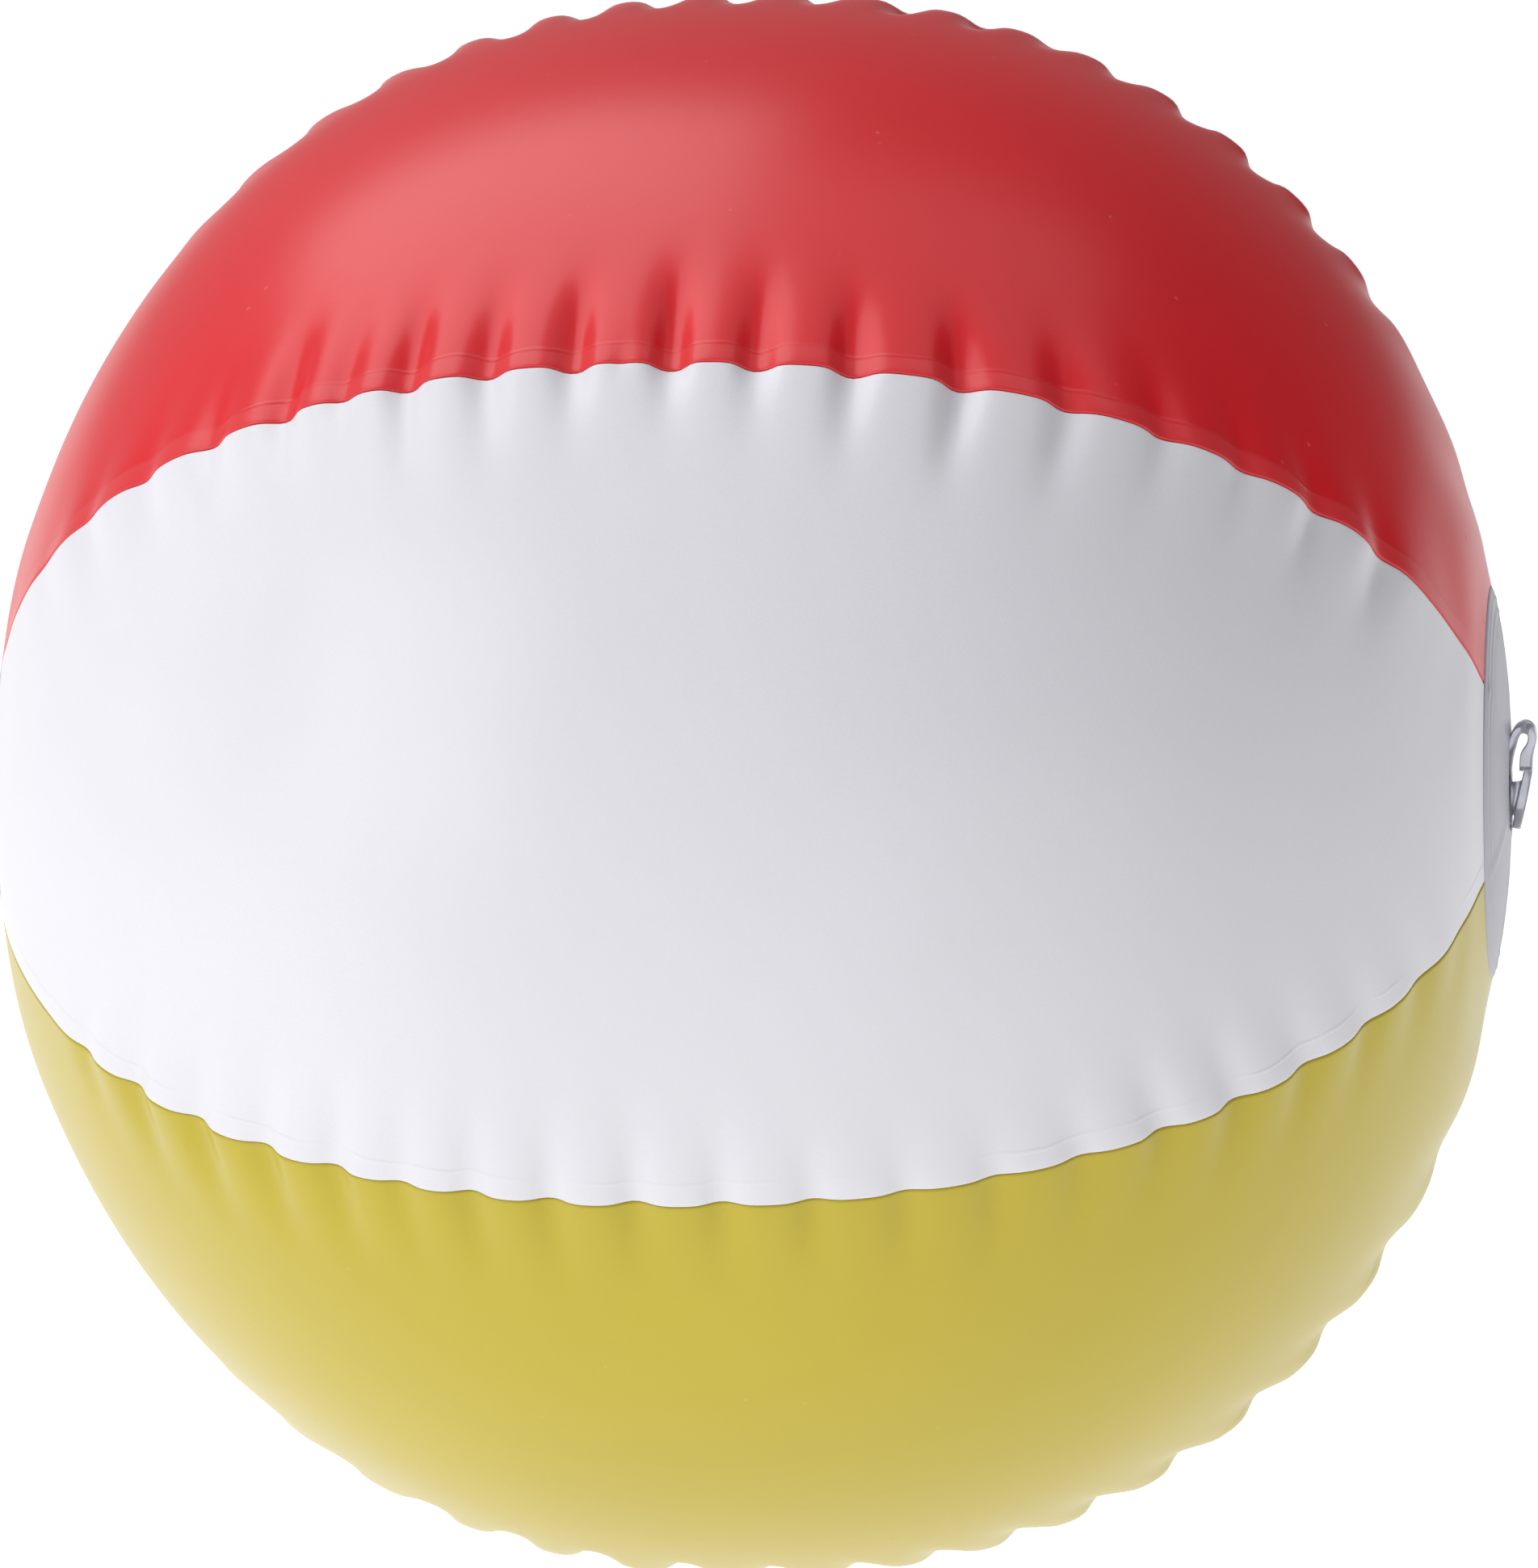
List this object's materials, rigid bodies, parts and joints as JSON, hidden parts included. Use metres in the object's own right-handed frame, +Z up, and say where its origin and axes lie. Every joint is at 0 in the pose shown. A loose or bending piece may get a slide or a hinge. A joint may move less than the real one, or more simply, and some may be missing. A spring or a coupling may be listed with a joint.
{
  "type": "inflatable beach ball",
  "caption": "Inflated beach ball of coloured film gores welded edge to edge, with pole discs and a push-in air valve with a strapped plug.",
  "frame": {"origin": "centre of the inflated ball, on its polar axis and half way between the poles", "axes": "+X along the polar axis towards the valve pole, +Z up, and -Y towards the middle of the front white gore"},
  "size_m": [0.2756, 0.2798, 0.2798],
  "materials": {
    "film_white": "glossy vinyl film, opaque white, with soft puckers at the seams",
    "film_red": "glossy vinyl film, deep red",
    "film_blue": "glossy vinyl film, royal blue",
    "film_yellow": "glossy vinyl film, warm yellow",
    "film_disc": "glossy vinyl film, white, with a ring weld",
    "clear_pvc": "clear soft PVC moulding, slightly blue and cloudy"
  },
  "bodies": {
    "ball": {"white_panel_front": "film_white", "red_panel": "film_red", "white_panel_upper_back": "film_white", "blue_panel": "film_blue", "white_panel_lower_back": "film_white", "yellow_panel": "film_yellow", "pole_disc_valve": "film_disc", "pole_disc_plain": "film_disc", "valve_flange": "clear_pvc", "valve_web": "clear_pvc"},
    "neck": {"valve_neck": "clear_pvc", "plug_strap_lower": "clear_pvc"},
    "flap": {"check_flap": "clear_pvc"},
    "plug": {"valve_plug": "clear_pvc", "plug_strap_upper": "clear_pvc"}
  },
  "joints": [
    {"name": "valve_push", "type": "slide", "parent": "ball", "child": "neck", "axis": [1, 0, 0], "range_m": [0, 0.012], "deforming": ["valve_web"]},
    {"name": "plug_swing", "type": "hinge", "parent": "neck", "child": "plug", "pos_m": [0.1374, 0, 0.0096], "axis": [0, -1, 0], "range_deg": [0, 110]},
    {"name": "flap_swing", "type": "hinge", "parent": "neck", "child": "flap", "pos_m": [0.11885, 0, 0.002], "axis": [0, 1, 0], "range_deg": [0, 70], "stiffness_Nm_per_rad": 0.0005}
  ]
}
